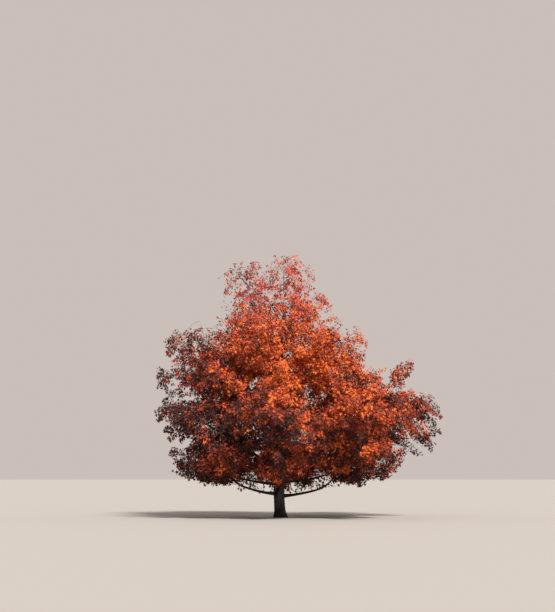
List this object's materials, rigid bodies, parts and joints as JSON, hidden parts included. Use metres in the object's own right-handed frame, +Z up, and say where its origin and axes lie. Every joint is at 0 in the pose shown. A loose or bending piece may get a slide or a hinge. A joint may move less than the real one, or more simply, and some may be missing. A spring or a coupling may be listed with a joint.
{
  "type": "red maple tree",
  "caption": "Whole red maple in autumn leaf: a short flared trunk, boughs leaving it on all sides, and masses of twigs and leaves in a broad, open, tapering crown.",
  "frame": {"origin": "the middle of the trunk's flat foot, at ground level", "axes": "+Z up along the trunk; +X to the right and +Y away from the viewer in the picture's view; -Z points into the ground"},
  "size_m": [9.5364, 10.2107, 8.9256],
  "materials": {
    "bark": "dark grey-brown ridged bark, matt",
    "leaves": "autumn leaves from orange to crimson and maroon, matt to satin"
  },
  "bodies": {
    "root": {"bough_broad_1": "bark", "bough_broad_2": "bark", "bough_broad_3": "bark", "bough_broad_4": "bark", "bough_broad_5": "bark", "bough_broad_6": "bark", "bough_broad_7": "bark", "bough_high_1": "bark", "bough_high_2": "bark", "bough_high_3": "bark", "bough_high_4": "bark", "bough_high_5": "bark", "bough_lowest_1": "bark", "bough_lowest_2": "bark", "bough_lowest_3": "bark", "bough_lowest_4": "bark", "bough_lowest_5": "bark", "bough_lowest_6": "bark", "bough_middle_1": "bark", "bough_middle_2": "bark", "bough_middle_3": "bark", "bough_middle_4": "bark", "bough_middle_5": "bark", "bough_right_tuft": "bark", "bough_side_tip": "bark", "bough_upper_1": "bark", "bough_upper_2": "bark", "bough_upper_3": "bark", "bough_upper_4": "bark", "foliage_broad_1": "leaves", "foliage_broad_2": "leaves", "foliage_broad_3": "leaves", "foliage_broad_4": "leaves", "foliage_broad_5": "leaves", "foliage_broad_6": "leaves", "foliage_broad_7": "leaves", "foliage_high_1": "leaves", "foliage_high_2": "leaves", "foliage_high_3": "leaves", "foliage_high_4": "leaves", "foliage_high_5": "leaves", "foliage_lowest_1": "leaves", "foliage_lowest_2": "leaves", "foliage_lowest_3": "leaves", "foliage_lowest_4": "leaves", "foliage_lowest_5": "leaves", "foliage_lowest_6": "leaves", "foliage_middle_1": "leaves", "foliage_middle_2": "leaves", "foliage_middle_3": "leaves", "foliage_middle_4": "leaves", "foliage_middle_5": "leaves", "foliage_right_tuft": "leaves", "foliage_side_tip": "leaves", "foliage_top": "leaves", "foliage_upper_1": "leaves", "foliage_upper_2": "leaves", "foliage_upper_3": "leaves", "foliage_upper_4": "leaves", "trunk": "bark"}
  },
  "joints": []
}
